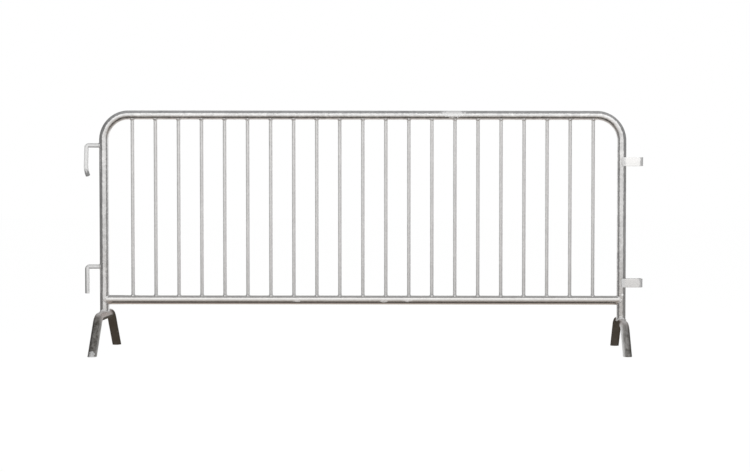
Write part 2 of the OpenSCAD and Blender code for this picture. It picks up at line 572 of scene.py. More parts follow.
class FinishDesk(NodeDesk):
    """The node tree of a new metal finish, read by the place on the piece."""

    def __init__(self, name: str) -> None:
        """Make the material.

        Args:
            name: The material's name.
        """
        self.material = bpy.data.materials.new(name)
        self.material.use_nodes = True
        super().__init__(self.material.node_tree)
        self.place = self.add("ShaderNodeTexCoord").outputs["Object"]

    def noise(self, size: float, detail: int, grain: Grain = Grain.NONE) -> Socket:
        """Cloudy noise.

        Args:
            size: The size of its features.
            detail: The number of finer layers.
            grain: The direction in which it is drawn out.

        Returns:
            A value around a half.
        """
        node = self.add("ShaderNodeTexNoise")
        place = self.move("MULTIPLY", self.place, grain.value)["Vector"]
        self.feed(node.inputs["Vector"], place)
        node.inputs["Scale"].default_value = 1 / size
        node.inputs["Detail"].default_value = detail
        return node.outputs["Fac"]

    def flakes(self, size: float, ragged: float) -> Socket:
        """Crystal flakes of random tone.

        Args:
            size: The size of a flake.
            ragged: How far noise pulls their edges about, as a share of their size.

        Returns:
            A value from 0 to 1, the same all over a flake.
        """
        warp = self.add("ShaderNodeTexNoise")
        self.feed(warp.inputs["Vector"], self.place)
        warp.inputs["Scale"].default_value = 2 / size
        pull = self.add("ShaderNodeVectorMath", operation="MULTIPLY_ADD")
        self.feed(pull.inputs[0], warp.outputs["Color"])
        pull.inputs[1].default_value = (ragged * size,) * 3
        self.feed(pull.inputs[2], self.place)
        cells = self.add("ShaderNodeTexVoronoi", feature="F1")
        self.feed(cells.inputs["Vector"], pull.outputs["Vector"])
        cells.inputs["Scale"].default_value = 1 / size
        return self.along(cells.outputs["Color"], "X")

    def sum_of(self, start: float, terms: Sequence[tuple[Socket, float]]) -> Socket:
        """A weighted sum of values that lie around a half.

        Args:
            start: The sum where every value is a half.
            terms: Each value with its weight.

        Returns:
            The sum.
        """
        total: Value = start - sum(weight for _, weight in terms) / 2
        for value, weight in terms:
            total = self.sum_up("ADD", self.sum_up("MULTIPLY", value, weight), total)
        return total

    def towards(self, direction: Vector) -> Socket:
        """How far the surface faces in a direction, from -1 to 1."""
        normal = self.add("ShaderNodeNewGeometry").outputs["Normal"]
        return self.move("DOT_PRODUCT", normal, direction)["Value"]

    def inside(self, patch: Patch) -> Socket:
        """Where a patch lies.

        Args:
            patch: The patch.

        Returns:
            The patch's share inside it, and 0 outside its edge.
        """
        away = self.move("SUBTRACT", self.place, patch.middle)["Vector"]
        shares = self.move("DIVIDE", away, patch.half_size)["Vector"]
        reach = self.move("LENGTH", shares, UP)["Value"]
        ragged = self.sum_of(0.0, [(self.noise(patch.grain, detail=3), patch.ragged)])
        edge = 1 + patch.haze / 2
        return self.between(self.sum_up("ADD", reach, ragged), edge, edge - patch.haze, patch.share)

    def blend(self, share: Socket, first: Socket, second: Colour) -> Socket:
        """A colour that turns into a second one.

        Args:
            share: The share of the second one.
            first: The first colour.
            second: The second colour.

        Returns:
            The blended colour.
        """
        node = self.add("ShaderNodeMix", data_type="RGBA")
        self.feed(node.inputs["Factor"], share)
        colours = [socket for socket in node.inputs if socket.type == "RGBA"]
        self.feed(colours[0], first)
        colours[1].default_value = (*second, 1.0)
        return next(socket for socket in node.outputs if socket.type == "RGBA")

    def dress(
        self,
        colour: Socket,
        metallic: Value,
        roughness: Socket,
        relief: Socket,
        depth: float,
        specular: float = 0.5,
    ) -> Material:
        """Link the shader.

        Args:
            colour: The base colour.
            metallic: The metallic value, fixed or by place.
            roughness: The roughness.
            relief: The height of the surface's relief, from 0 to 1.
            depth: How deep that relief is.
            specular: The gloss of what isn't metallic.

        Returns:
            The finished material.
        """
        bump = self.add("ShaderNodeBump")
        bump.inputs["Strength"].default_value = 1.0
        bump.inputs["Distance"].default_value = depth
        self.feed(bump.inputs["Height"], relief)
        shader = self.add("ShaderNodeBsdfPrincipled")
        self.feed(shader.inputs["Base Color"], colour)
        self.feed(shader.inputs["Metallic"], metallic)
        self.feed(shader.inputs["Roughness"], roughness)
        shader.inputs["Specular IOR Level"].default_value = specular
        self.feed(shader.inputs["Normal"], bump.outputs["Normal"])
        self.show("ShaderNodeOutputMaterial", shader.outputs[0])
        return self.material


@dataclass(frozen=True)
class ZincFinish:
    """Hot-dip zinc: crystal flakes, dull clouds and drained streaks, greyer towards the ground, with
    painted shade on the faces that turn one way, downwards unless set otherwise.

    A span says where a share starts, where it is complete and how large it gets, or 1.
    """

    name: str
    light: Colour = grey(0.86)
    dark: Colour = (0.60, 0.60, 0.605)
    grime: Colour = (0.30, 0.26, 0.22)
    # Colour of the painted shade on faces turned away from the light.
    painted_shade_colour: Colour = (0.62, 0.52, 0.43)
    stops: Span = (0.15, 0.85)
    grain: Grain = Grain.NONE
    flake: float = 0.011
    ragged: float = 0.5
    cloud: float = 0.12
    streak: float = 0.007
    flake_weight: float = 0.28
    cloud_weight: float = 0.6
    streak_weight: float = 0.4
    speck: float = 0.004
    specks: Span = (0.62, 0.75, 0.15)
    metallic: float = 0.92
    roughness: float = 0.13
    roughness_spread: float = 0.06
    relief: float = 0.0005
    lump: float = 0.016
    lump_relief: float = 0.8
    pit: float = 0.0025
    pit_relief: float = 0.05
    flake_relief: float = 0.02
    grime_top: float = 0.55
    grime_bottom: float = 0.05
    grime_share: float = 0.25
    # Which way the painted shade's faces turn, and how far and how strongly it reaches.
    painted_shade_facing: Vector = -UP
    painted_shade_span: Span = (-0.3, 0.6, 0.2)
    patches: Sequence[Patch] = ()

    def material(self) -> Material:
        """Lay the finish out in nodes.

        Returns:
            The material.
        """
        desk = FinishDesk(self.name)
        flakes = desk.flakes(self.flake, self.ragged)
        clouds = desk.noise(self.cloud, detail=4)
        streaks = desk.noise(self.streak, detail=2, grain=self.grain)
        weights = self.flake_weight, self.cloud_weight, self.streak_weight
        tone = desk.sum_of(0.5, list(zip((flakes, clouds, streaks), weights)))
        colour = desk.ramp(tone, list(zip(self.stops, (self.dark, self.light))))
        height = desk.along(desk.place, "Z")
        low = desk.between(height, self.grime_top, self.grime_bottom, 2 * self.grime_share)
        colour = desk.blend(desk.all_of(low, clouds), colour, self.grime)
        specks = desk.between(desk.noise(self.speck, detail=3), *self.specks)
        colour = desk.blend(specks, colour, self.grime)
        # Painted shade: faces turned the shade's way are blended towards the shade colour.
        facing = desk.towards(self.painted_shade_facing.normalized())
        colour = desk.blend(desk.between(facing, *self.painted_shade_span), colour, self.painted_shade_colour)
        spread = self.roughness_spread
        roughness = desk.sum_of(self.roughness, [(flakes, spread), (clouds, 2 * spread)])
        metallic: Value = self.metallic
        for patch in self.patches:
            inside = desk.inside(patch)
            colour = desk.blend(inside, colour, patch.colour)
            metallic = desk.sum_up("SUBTRACT", metallic, inside)
        lumps = desk.noise(self.lump, detail=2), self.lump_relief
        pits = desk.noise(self.pit, detail=2), self.pit_relief
        relief = desk.sum_of(0.5, [lumps, pits, (flakes, self.flake_relief)])
        return desk.dress(colour, metallic, roughness, relief, self.relief)


@dataclass(frozen=True)
class WornZincFinish:
    """Zinc on the feet: stained and rubbed bright at one leg's end, with painted shade underneath,
    outside and on the back bends, and painted light on the tops and the front legs' inner sides.

    A span says where a share starts, where it is complete and how large it gets, or 1.
    """

    name: str
    rubbed_end: Patch
    light: Colour = (0.44, 0.43, 0.415)
    dull: Colour = (0.25, 0.24, 0.225)
    stain: Colour = (0.12, 0.108, 0.095)
    # Colour of the painted shade underneath and on the back bends.
    painted_underside_shade: Colour = (0.048, 0.038, 0.028)
    # Colour of the painted highlights on faces turned up and on the front legs' inner sides.
    bright: Colour = grey(0.86)
    # Colour of the painted light on the bridge's upward faces.
    top: Colour = (0.52, 0.465, 0.445)
    stops: Span = (0.1, 0.4, 0.85)
    tone: float = 0.55
    flake: float = 0.009
    flake_weight: float = 0.3
    ragged: float = 0.6
    cloud: float = 0.03
    cloud_weight: float = 1.0
    speck: float = 0.004
    speck_weight: float = 0.5
    streak: float = 0.006
    streak_weight: float = 0.9
    right_foot: Span = (-0.5, 0.5)
    right_weight: float = 0.3
    blot: float = 0.05
    blots: Span = (0.52, 0.68, 0.6)
    painted_outer_shade: Span = (0.35, 0.75, 0.8)
    painted_top_light: Span = (-0.25, 0.25, 0.85)
    bridge: Span = (-0.18, -0.12)
    painted_crest_highlight: Span = (0.75, 0.95, 0.5)
    back_bend: Span = (0.03, 0.11, 0.95)
    right_bend_lead: float = 0.19
    below_crest: Span = (0.9, 0.55)
    turned_forwards: Span = (0.4, 0.1)
    painted_lower_shade: Span = (0.1, -0.3, 0.85)
    painted_inner_highlight: Span = (-0.3, -0.95)
    front_leg: Span = (-0.10, -0.16)
    inner_highlight_reach: Span = (-2.0, 1.2, 0.7)
    metallic: float = 0.85
    roughness: float = 0.38
    cloud_roughness: float = 0.25
    flake_roughness: float = 0.1
    specular: float = 0.0
    relief: float = 0.0007
    cloud_relief: float = 0.5
    speck_relief: float = 0.25

    def material(self) -> Material:
        """Lay the finish out in nodes.

        Returns:
            The material.
        """
        desk = FinishDesk(self.name)
        flakes = desk.flakes(self.flake, self.ragged)
        clouds = desk.noise(self.cloud, detail=5)
        specks = desk.noise(self.speck, detail=4)
        streaks = desk.noise(self.streak, detail=3, grain=Grain.ALONG_LEGS)
        along, back = desk.along(desk.place, "X"), desk.along(desk.place, "Y")
        right = desk.between(along, *self.right_foot)
        tone = desk.sum_of(
            self.tone,
            [
                (flakes, self.flake_weight),
                (clouds, self.cloud_weight),
                (specks, self.speck_weight),
                (streaks, self.streak_weight),
                (right, self.right_weight),
            ],
        )
        colour = desk.ramp(tone, list(zip(self.stops, (self.stain, self.dull, self.light))))
        blots = desk.between(desk.noise(self.blot, detail=4), *self.blots)
        colour = desk.blend(blots, colour, self.stain)
        outwards = desk.all_of(desk.towards(RIGHT), desk.sum_up("SIGN", along))
        # Painted shade: faces turned outwards, away from the barrier's middle, take the stain colour.
        colour = desk.blend(desk.between(outwards, *self.painted_outer_shade), colour, self.stain)
        upwards = desk.towards(UP)
        # Painted light: the bridge's upward faces turn paler, and faces turned straight up take a
        # painted highlight.
        top = desk.all_of(desk.between(upwards, *self.painted_top_light), desk.between(back, *self.bridge))
        colour = desk.blend(top, colour, self.top)
        colour = desk.blend(desk.between(upwards, *self.painted_crest_highlight), colour, self.bright)
        # Painted shade: forward-facing back bends below the top, and faces turned down, are darkened
        # nearly to black.
        lead = desk.sum_up("MULTIPLY", right, self.right_bend_lead)
        shaded = desk.all_of(
            desk.between(desk.sum_up("ADD", back, lead), *self.back_bend),
            desk.between(upwards, *self.below_crest),
            desk.between(desk.towards(BACK), *self.turned_forwards),
        )
        dark = desk.any_of(desk.between(upwards, *self.painted_lower_shade), shaded)
        colour = desk.blend(dark, colour, self.painted_underside_shade)
        # Painted highlight: the inner sides of the front legs are lightened, more on the right foot.
        inner = desk.all_of(
            desk.between(outwards, *self.painted_inner_highlight),
            desk.between(back, *self.front_leg),
            desk.between(along, *self.inner_highlight_reach),
        )
        colour = desk.blend(inner, colour, self.bright)
        # Where light or shade is painted, the surface loses its metal.
        metallic = desk.sum_up("SUBTRACT", self.metallic, desk.any_of(inner, dark, top))
        colour = desk.blend(desk.inside(self.rubbed_end), colour, self.rubbed_end.colour)
        roughness = desk.sum_of(
            self.roughness, [(clouds, self.cloud_roughness), (flakes, self.flake_roughness)]
        )
        relief = desk.sum_of(0.5, [(clouds, self.cloud_relief), (specks, self.speck_relief)])
        return desk.dress(colour, metallic, roughness, relief, self.relief, self.specular)


@dataclass(frozen=True)
class Panel:
    """Places and sizes that the sub-assemblies share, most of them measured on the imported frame."""

    left_x: float
    right_x: float
    top_z: float
    frame_radius: float
    rail_z: float
    rail_radius: float
    bar_radius: float
    hook_radius: float
    foot_radius: float
    left_foot_z: float
    right_foot_z: float
    saddle: float = 0.007
    strip: float = 0.005

    @classmethod
    def measured(cls, bar: str) -> Panel:
        """Measure the frame's nodes.

        Args:
            bar: The node of any upright bar.

        Returns:
            The measured panel.
        """
        frame_radius = to_mm(half_size("frame_tube").y)
        foot_radius = to_mm(half_size("left_foot").x)
        left_foot_z, right_foot_z = (to_mm(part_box(foot)[1].z - foot_radius) for foot in FOOT_NODES)
        return cls(
            left_x=middle("left_foot").x,
            right_x=middle("right_foot").x,
            top_z=to_mm(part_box("frame_tube")[1].z - frame_radius),
            frame_radius=frame_radius,
            rail_z=to_mm(middle("bottom_rail").z),
            rail_radius=to_mm(half_size("bottom_rail").z),
            bar_radius=to_mm(half_size(bar).x),
            hook_radius=to_mm(half_size("lower_hook").y),
            foot_radius=foot_radius,
            left_foot_z=left_foot_z,
            right_foot_z=right_foot_z,
        )

    @property
    def width(self) -> float:
        """The distance between the posts' axes."""
        return self.right_x - self.left_x

    @property
    def post_end(self) -> float:
        """The height of a post's lowest points over the axis of its foot."""
        return self.foot_radius - self.saddle

    @property
    def foot_axes(self) -> tuple[Vector, Vector]:
        """The points of both feet's axes that lie under the posts."""
        left = Vector((self.left_x, 0, self.left_foot_z))
        return left, Vector((self.right_x, 0, self.right_foot_z))

    @property
    def rail_ends(self) -> tuple[Vector, Vector]:
        """The points where the bottom rail's axis meets the posts' axes."""
        left = Vector((self.left_x, 0, self.rail_z))
        return left, left + RIGHT * self.width

    def hook_root(self, node: str) -> Vector:
        """The point where the axis of a hook's arm meets the left post's axis."""
        return Vector((self.left_x, 0, to_mm(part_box(node)[1].z - self.hook_radius)))


class Assembly:
    """A sub-assembly that models its pieces, dresses them and sets them on the frame."""

    slot: ClassVar[str]

    def build(self) -> dict[str, Piece]:
        """Model the pieces, each under the name of the frame's node that it stands for."""
        raise NotImplementedError

    def finish(self) -> Material:
        """The material of the pieces."""
        raise NotImplementedError

    def install(self) -> None:
        """Model, dress and place every piece, and report it."""
        material = self.finish()
        for node, piece in self.build().items():
            piece.data.materials.clear()
            piece.data.materials.append(material)
            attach(piece, BODY)
            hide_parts(node)
            LOG.info("%s: %d faces, %s", piece.name, len(piece.data.polygons), material.name)


@dataclass
class FrameTube(Assembly):
    """One tube bent into both posts and the top rail, with ends coped to the feet."""

    panel: Panel
    wall: float = 0.002
    bend_radius: float = 0.115
    sides: int = 48
    bend_steps: int = 24
    rail_smear: Patch = Patch(Vector((0.046, 0.03, 0.02)), 0.85, Vector((0.41, -0.016, 0.012)))
    # A zinc lump by the right rail joint, painted near white: partly the lump's own colour, partly a
    # painted highlight.
    right_glint_speck: Patch = Patch(Vector((0.005, 0.005, 0.005)), 0.9, Vector((0.004, 0, 0.026)))
    right_run: Patch = Patch(Vector((0.011, 0.02, 0.014)), 0.7)
    left_run: Patch = Patch(Vector((0.008, 0.02, 0.14)), 0.45, Vector((0.003, 0, 0)))
    slot: ClassVar[str] = "frame"

    def build(self) -> dict[str, Piece]:
        """Draw the tube from the left post's foot over the top to the right one.

        Returns:
            The tube by its node.
        """
        panel = self.panel
        start = panel.foot_axes[0] + UP * panel.post_end
        bend_z = panel.top_z - self.bend_radius
        name = finished_name("frame_tube")
        tube = Workbench.ring(name, panel.frame_radius, start, UP, self.sides)
        route = Route(start, UP)
        route.run(bend_z - start.z)
        route.bend(RIGHT, self.bend_radius, QUARTER, self.bend_steps)
        route.run(panel.width - 2 * self.bend_radius)
        route.bend(-UP, self.bend_radius, QUARTER, self.bend_steps)
        route.run(bend_z - panel.right_foot_z - panel.post_end)
        Workbench.reshape(tube, self.cope)
        Workbench.thicken(tube, self.wall)
        return {"frame_tube": Workbench.settle(tube)}

    def cope(self, place: Vector) -> Vector:
        """Fit a post's end to the foot that it stands on.

        Args:
            place: A vertex of the tube.

        Returns:
            Its place on the coped tube.
        """
        panel = self.panel
        foot = panel.foot_axes[0 if place.x < 0 else 1]
        rise = max(half_chord(panel.foot_radius, place.x - foot.x), panel.post_end)
        return Vector((place.x, place.y, max(place.z, foot.z + rise)))

    def finish(self) -> Material:
        """Mottled zinc, with a smear of ash on the top rail, pale runs low on the posts and a painted
        glint by the right rail joint.

        Returns:
            The material.
        """
        panel = self.panel
        front = -BACK * panel.frame_radius
        left_rail, right_rail = (end + front for end in panel.rail_ends)
        right_end = panel.foot_axes[1] + UP * panel.foot_radius + front
        return ZincFinish(
            "frame_zinc",
            grain=Grain.ALONG_Z,
            flake=0.015,
            flake_weight=0.4,
            cloud_weight=0.8,
            relief=0.0015,
            patches=(
                self.rail_smear.at(UP * panel.top_z),
                self.right_glint_speck.at(right_rail),
                self.right_run.at(right_end),
                self.left_run.at(left_rail),
            ),
        ).material()


@dataclass
class BottomRail(Assembly):
    """A straight tube between the posts, with both ends coped to them."""

    panel: Panel
    wall: float = 0.002
    sides: int = 48
    drop: Patch = Patch(Vector((0.018, 0.02, 0.005)), 0.45)
    drop_places: Sequence[tuple[float, float]] = ((-0.305, -0.003), (0.093, -0.005), (0.203, -0.002))
    slot: ClassVar[str] = "frame"

    def build(self) -> dict[str, Piece]:
        """Draw the rail from the left post's axis to the right one and cope its ends.

        Returns:
            The rail by its node.
        """
        panel = self.panel
        start = panel.rail_ends[0]
        name = finished_name("bottom_rail")
        rail = Workbench.ring(name, panel.rail_radius, start, RIGHT, self.sides)
        Route(start, RIGHT).run(panel.width)
        Workbench.reshape(rail, self.cope)
        Workbench.thicken(rail, self.wall)
        return {"bottom_rail": Workbench.settle(rail)}

    def cope(self, place: Vector) -> Vector:
        """Fit the rail's ends to the posts.

        Args:
            place: A vertex of the rail.

        Returns:
            Its place on the coped rail.
        """
        panel = self.panel
        reach = half_chord(panel.frame_radius, place.y)
        x = max(panel.left_x + reach, min(panel.right_x - reach, place.x))
        return Vector((x, place.y, place.z))

    def finish(self) -> Material:
        """Zinc that drained along the rail, with drops of ash along its front and painted brown shade
        on its downward faces.

        Returns:
            The material.
        """
        panel = self.panel
        front = UP * panel.rail_z - BACK * panel.rail_radius
        return ZincFinish(
            "rail_zinc",
            light=grey(0.95),
            dark=grey(0.74),
            grain=Grain.ALONG_X,
            grime_share=0.3,
            # Painted shade: the rail's downward faces are darkened brown, more strongly than
            # elsewhere.
            painted_shade_span=(-0.3, 0.6, 0.5),
            patches=tuple(self.drop.at(front + RIGHT * x + UP * z) for x, z in self.drop_places),
        ).material()


@dataclass
class UprightBars(Assembly):
    """The upright bars, thin tubes coped to both rails."""

    panel: Panel
    nodes: Sequence[str]
    wall: float = 0.0012
    sides: int = 28
    slot: ClassVar[str] = "bars"

    def build(self) -> dict[str, Piece]:
        """Model one bar at the middle and copy it to each place.

        Returns:
            The bars by their nodes.
        """
        panel = self.panel
        start = UP * panel.rail_z
        bar = Workbench.ring("bar_pattern", panel.bar_radius, start, UP, self.sides)
        Route(start, UP).run(panel.top_z - panel.rail_z)
        Workbench.reshape(bar, self.cope)
        Workbench.thicken(bar, self.wall)
        Workbench.settle(bar)
        pieces = {}
        for node in self.nodes:
            place = Matrix.Translation(RIGHT * middle(node).x)
            pieces[node] = Workbench.copy(bar, finished_name(node), place)
        bpy.data.objects.remove(bar)
        return pieces

    def cope(self, place: Vector) -> Vector:
        """Fit a bar's ends to the rails.

        Args:
            place: A vertex of the bar.

        Returns:
            Its place on the coped bar.
        """
        panel = self.panel
        low = panel.rail_z + half_chord(panel.rail_radius, place.y)
        high = panel.top_z - half_chord(panel.frame_radius, place.y)
        return Vector((place.x, place.y, max(low, min(high, place.z))))

    def finish(self) -> Material:
        """Finer, duller zinc.

        Returns:
            The material.
        """
        return ZincFinish(
            "bar_zinc",
            light=grey(0.87),
            dark=grey(0.64),
            grime=grey(0.40),
            grain=Grain.ALONG_Z,
            flake=0.007,
            metallic=0.6,
            roughness=0.5,
            relief=0.0002,
            grime_share=0.33,
        ).material()


@dataclass
class Hook(Assembly):
    """A round bar that runs out from the left post and bends down."""

    panel: Panel
    elbow_radius: float = 0.011
    end_round: float = 0.0015
    sides: int = 36
    elbow_steps: int = 14
    slot: ClassVar[str] = "hooks"
    node: ClassVar[str]

    def build(self) -> dict[str, Piece]:
        """Draw the arm from the post's axis, bend it down, cope its root and round its end.

        Returns:
            The hook by its node.
        """
        panel = self.panel
        root = panel.hook_root(self.node)
        reach = to_mm(panel.left_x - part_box("lower_hook")[0].x - panel.hook_radius)
        name = finished_name(self.node)
        hook = Workbench.ring(name, panel.hook_radius, root, -RIGHT, self.sides)
        route = Route(root, -RIGHT)
        route.run(reach - self.elbow_radius)
        self.drop(route)
        Workbench.reshape(hook, self.cope)
        Workbench.fill_ends()
        Workbench.round_edges(hook, self.end_round)
        return {self.node: Workbench.settle(hook)}

    def drop(self, route: Route) -> None:
        """Bend the bar down at the elbow and draw it to its end."""
        raise NotImplementedError

    def cope(self, place: Vector) -> Vector:
        """Where a vertex of the hook lies once the arm's root is fitted to the post."""
        reach = half_chord(self.panel.frame_radius, place.y)
        return Vector((min(place.x, self.panel.left_x - reach), place.y, place.z))


@dataclass
class UpperHook(Hook):
    """The upper hook, whose drop leans forwards and whose tip turns back."""

    length: float = 0.080
    lean: float = math.radians(8)
    tip_bend_radius: float = 0.070
    tip_angle: float = math.radians(35)
    tip_turn: float = math.radians(68)
    tip_length: float = 0.008
    tip_steps: int = 10
    # Painted shade: a dark patch on the tip, where it turns down and away from the light.
    painted_tip_shade: Patch = Patch(
        Vector((0.05, 0.2, 0.028)), 0.9, Vector((0.014, 0, 0)), colour=grey(0.2), grain=0.006
    )
    node: ClassVar[str] = "upper_hook"

    def drop(self, route: Route) -> None:
        """Draw the leaning drop and its tip.

        Args:
            route: The bar's line, from its elbow on.
        """
        down = -UP * math.cos(self.lean) - BACK * math.sin(self.lean)
        backwards = BACK * math.cos(self.lean) - UP * math.sin(self.lean)
        route.bend(down, self.elbow_radius, QUARTER, self.elbow_steps)
        route.run(self.length)
        inwards = RIGHT * math.cos(self.tip_turn) + backwards * math.sin(self.tip_turn)
        route.bend(inwards, self.tip_bend_radius, self.tip_angle, self.tip_steps)
        route.run(self.tip_length)

    def finish(self) -> Material:
        """Pale, dull zinc, with painted shade on the tip and underneath.

        Returns:
            The material.
        """
        low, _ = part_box(self.node)
        return ZincFinish(
            "upper_hook_zinc",
            light=grey(0.87),
            dark=grey(0.76),
            # Painted shade: faces turned down and a little left are darkened.
            painted_shade_colour=grey(0.25),
            flake=0.006,
            metallic=0.1,
            roughness=0.45,
            relief=0.0002,
            painted_shade_facing=Vector((-0.3, 0.0, -0.95)),
            painted_shade_span=(0.1, 0.7, 0.85),
            patches=(self.painted_tip_shade.at(RIGHT * low.x + UP * low.z),),
        ).material()


@dataclass
class LowerHook(Hook):
    """The lower hook, which drops straight."""

    node: ClassVar[str] = "lower_hook"

    def drop(self, route: Route) -> None:
        """Draw the straight drop."""
        route.bend(-UP, self.elbow_radius, QUARTER, self.elbow_steps)
        route.run(route.place.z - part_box(self.node)[0].z)

    def finish(self) -> Material:
        """Brighter zinc, with painted shade on its outer side and underneath.

        Returns:
            The material.
        """
        return ZincFinish(
            "lower_hook_zinc",
            light=grey(0.84),
            dark=grey(0.72),
            # Painted shade: faces turned left and down are darkened nearly to black.
            painted_shade_colour=grey(0.11),
            grain=Grain.ALONG_Z,
            flake=0.006,
            metallic=0.1,
            roughness=0.35,
            relief=0.0002,
            grime_share=0.0,
            painted_shade_facing=Vector((-0.8, 0.0, -0.6)),
            painted_shade_span=(-0.15, 0.7, 0.95),
        ).material()


@dataclass
class Loops(Assembly):
    """Two flat strips bent to a U round the right post."""

    panel: Panel
    corner_radius: float = 0.008
    edge_round: float = 0.0009
    corner_steps: int = 10
    dull_root: Patch = Patch(Vector((0.017, 0.05, 0.06)), 0.75, colour=grey(0.62))
    # Painted shade: a dark band over the curved end bend of each strip.
    painted_bend_shade: Patch = Patch(
        Vector((0.016, 0.2, 0.2)), 0.65, colour=grey(0.36), grain=0.01, haze=0.15
    )
    slot: ClassVar[str] = "loops"

    def build(self) -> dict[str, Piece]:
        """Model both loops."""
        return {node: self.loop(node) for node in LOOP_NODES}

    def loop(self, node: str) -> Piece:
        """Draw the strip along the front, round the end and back.

        Args:
            node: The frame's node for the loop.

        Returns:
            The loop.
        """
        low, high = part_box(node)
        right_x, strip = self.panel.right_x, self.panel.strip
        start = Vector((right_x, low.y + strip / 2, middle(node).z))
        loop = Workbench.strip_end(finished_name(node), strip, high.z - low.z, start)
        route = Route(start, RIGHT)
        bend = self.corner_radius + strip / 2
        side = high.x - right_x - strip - self.corner_radius
        route.run(side)
        route.bend(BACK, bend, QUARTER, self.corner_steps)
        route.run(high.y - low.y - 2 * (strip + self.corner_radius))
        route.bend(-RIGHT, bend, QUARTER, self.corner_steps)
        route.run(side)
        Workbench.fill_ends()
        Workbench.round_edges(loop, self.edge_round)
        Workbench.settle(loop)
        Workbench.apply(loop, "WEIGHTED_NORMAL", keep_sharp=True)
        return loop

    def finish(self) -> Material:
        """The brightest zinc, dulled at the welds, with painted shade round the end bend.

        Returns:
            The material.
        """
        patches = []
        for node in LOOP_NODES:
            height = UP * middle(node).z
            patches.append(self.dull_root.at(height + RIGHT * self.panel.right_x))
            patches.append(self.painted_bend_shade.at(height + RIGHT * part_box(node)[1].x))
        return ZincFinish(
            "loop_zinc",
            light=WHITE,
            dark=grey(0.92),
            grime=grey(0.5),
            grain=Grain.ALONG_X,
            flake=0.008,
            roughness=0.18,
            relief=0.0001,
            grime_share=0.4,
            patches=patches,
        ).material()


@dataclass
class Feet(Assembly):
    """Two tubes bent to arches under the posts, with legs cut level with the ground."""

    panel: Panel
    wall: float = 0.0025
    corner_width: float = 0.276
    lean: float = math.radians(39)
    bend_radius: float = 0.065
    spare: float = 0.04
    sides: int = 48
    bend_steps: int = 16
    rubbed_end: Patch = Patch(
        Vector((0.016, 0.03, 0.026)), 0.85, Vector((0, 0, 0.004)), grain=0.008, haze=0.25
    )
    slot: ClassVar[str] = "feet"

    def build(self) -> dict[str, Piece]:
        """Model both feet."""
        return {node: self.foot(node, axis) for node, axis in zip(FOOT_NODES, self.panel.foot_axes)}

    def foot(self, node: str, axis: Vector) -> Piece:
        """Draw the arch from the front leg to the back one and cut the legs level.

        Args:
            node: The frame's node for the foot.
            axis: The point of the arch's axis that lies under the post.

        Returns:
            The foot.
        """
        rise = axis.z + self.spare
        run = self.corner_width / 2 + rise * math.tan(self.lean)
        start = Vector((axis.x, -run, -self.spare))
        up_leg = UP * math.cos(self.lean) + BACK * math.sin(self.lean)
        over = BACK * math.cos(self.lean) - UP * math.sin(self.lean)
        angle = QUARTER - self.lean
        tangent = self.bend_radius * math.tan(angle / 2)
        leg = rise / math.cos(self.lean) - tangent
        name = finished_name(node)
        foot = Workbench.ring(name, self.panel.foot_radius, start, up_leg, self.sides)
        route = Route(start, up_leg)
        route.run(leg)
        route.bend(over, self.bend_radius, angle, self.bend_steps)
        route.run(self.corner_width - 2 * tangent)
        route.bend(-UP, self.bend_radius, angle, self.bend_steps)
        route.run(leg)
        Workbench.thicken(foot, self.wall)
        self.cut_level(foot)
        return Workbench.settle(foot)

    @staticmethod
    def cut_level(foot: Piece) -> None:
        """Cut the legs at the ground and close the rims of their walls.

        Args:
            foot: The foot, in object mode.
        """
        for front in (True, False):
            bpy.ops.object.mode_set(mode="EDIT")
            bpy.ops.mesh.select_all(action="SELECT")
            if front:
                bpy.ops.mesh.bisect(plane_co=(0, 0, 0), plane_no=UP, clear_inner=True)
            bpy.ops.mesh.select_all(action="DESELECT")
            bpy.ops.mesh.select_non_manifold()
            Workbench.keep_selected(foot, lambda place: (place.y < 0) == front)
            bpy.ops.mesh.bridge_edge_loops()
            bpy.ops.object.mode_set(mode="OBJECT")

    def finish(self) -> Material:
        """Worn zinc, rubbed bright at the end of the left foot's front leg, with painted shade and
        highlights.
        """
        front_end = Vector((self.panel.left_x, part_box("left_foot")[0].y, 0))
        return WornZincFinish("foot_zinc", self.rubbed_end.at(front_end)).material()


def scallop(phase: float) -> float:
    """The height of a weld's ripple, from 0 at its edges to 1 at its middle."""
    share = 2 * (phase % 1.0) - 1
    return math.sqrt(1 - share * share)


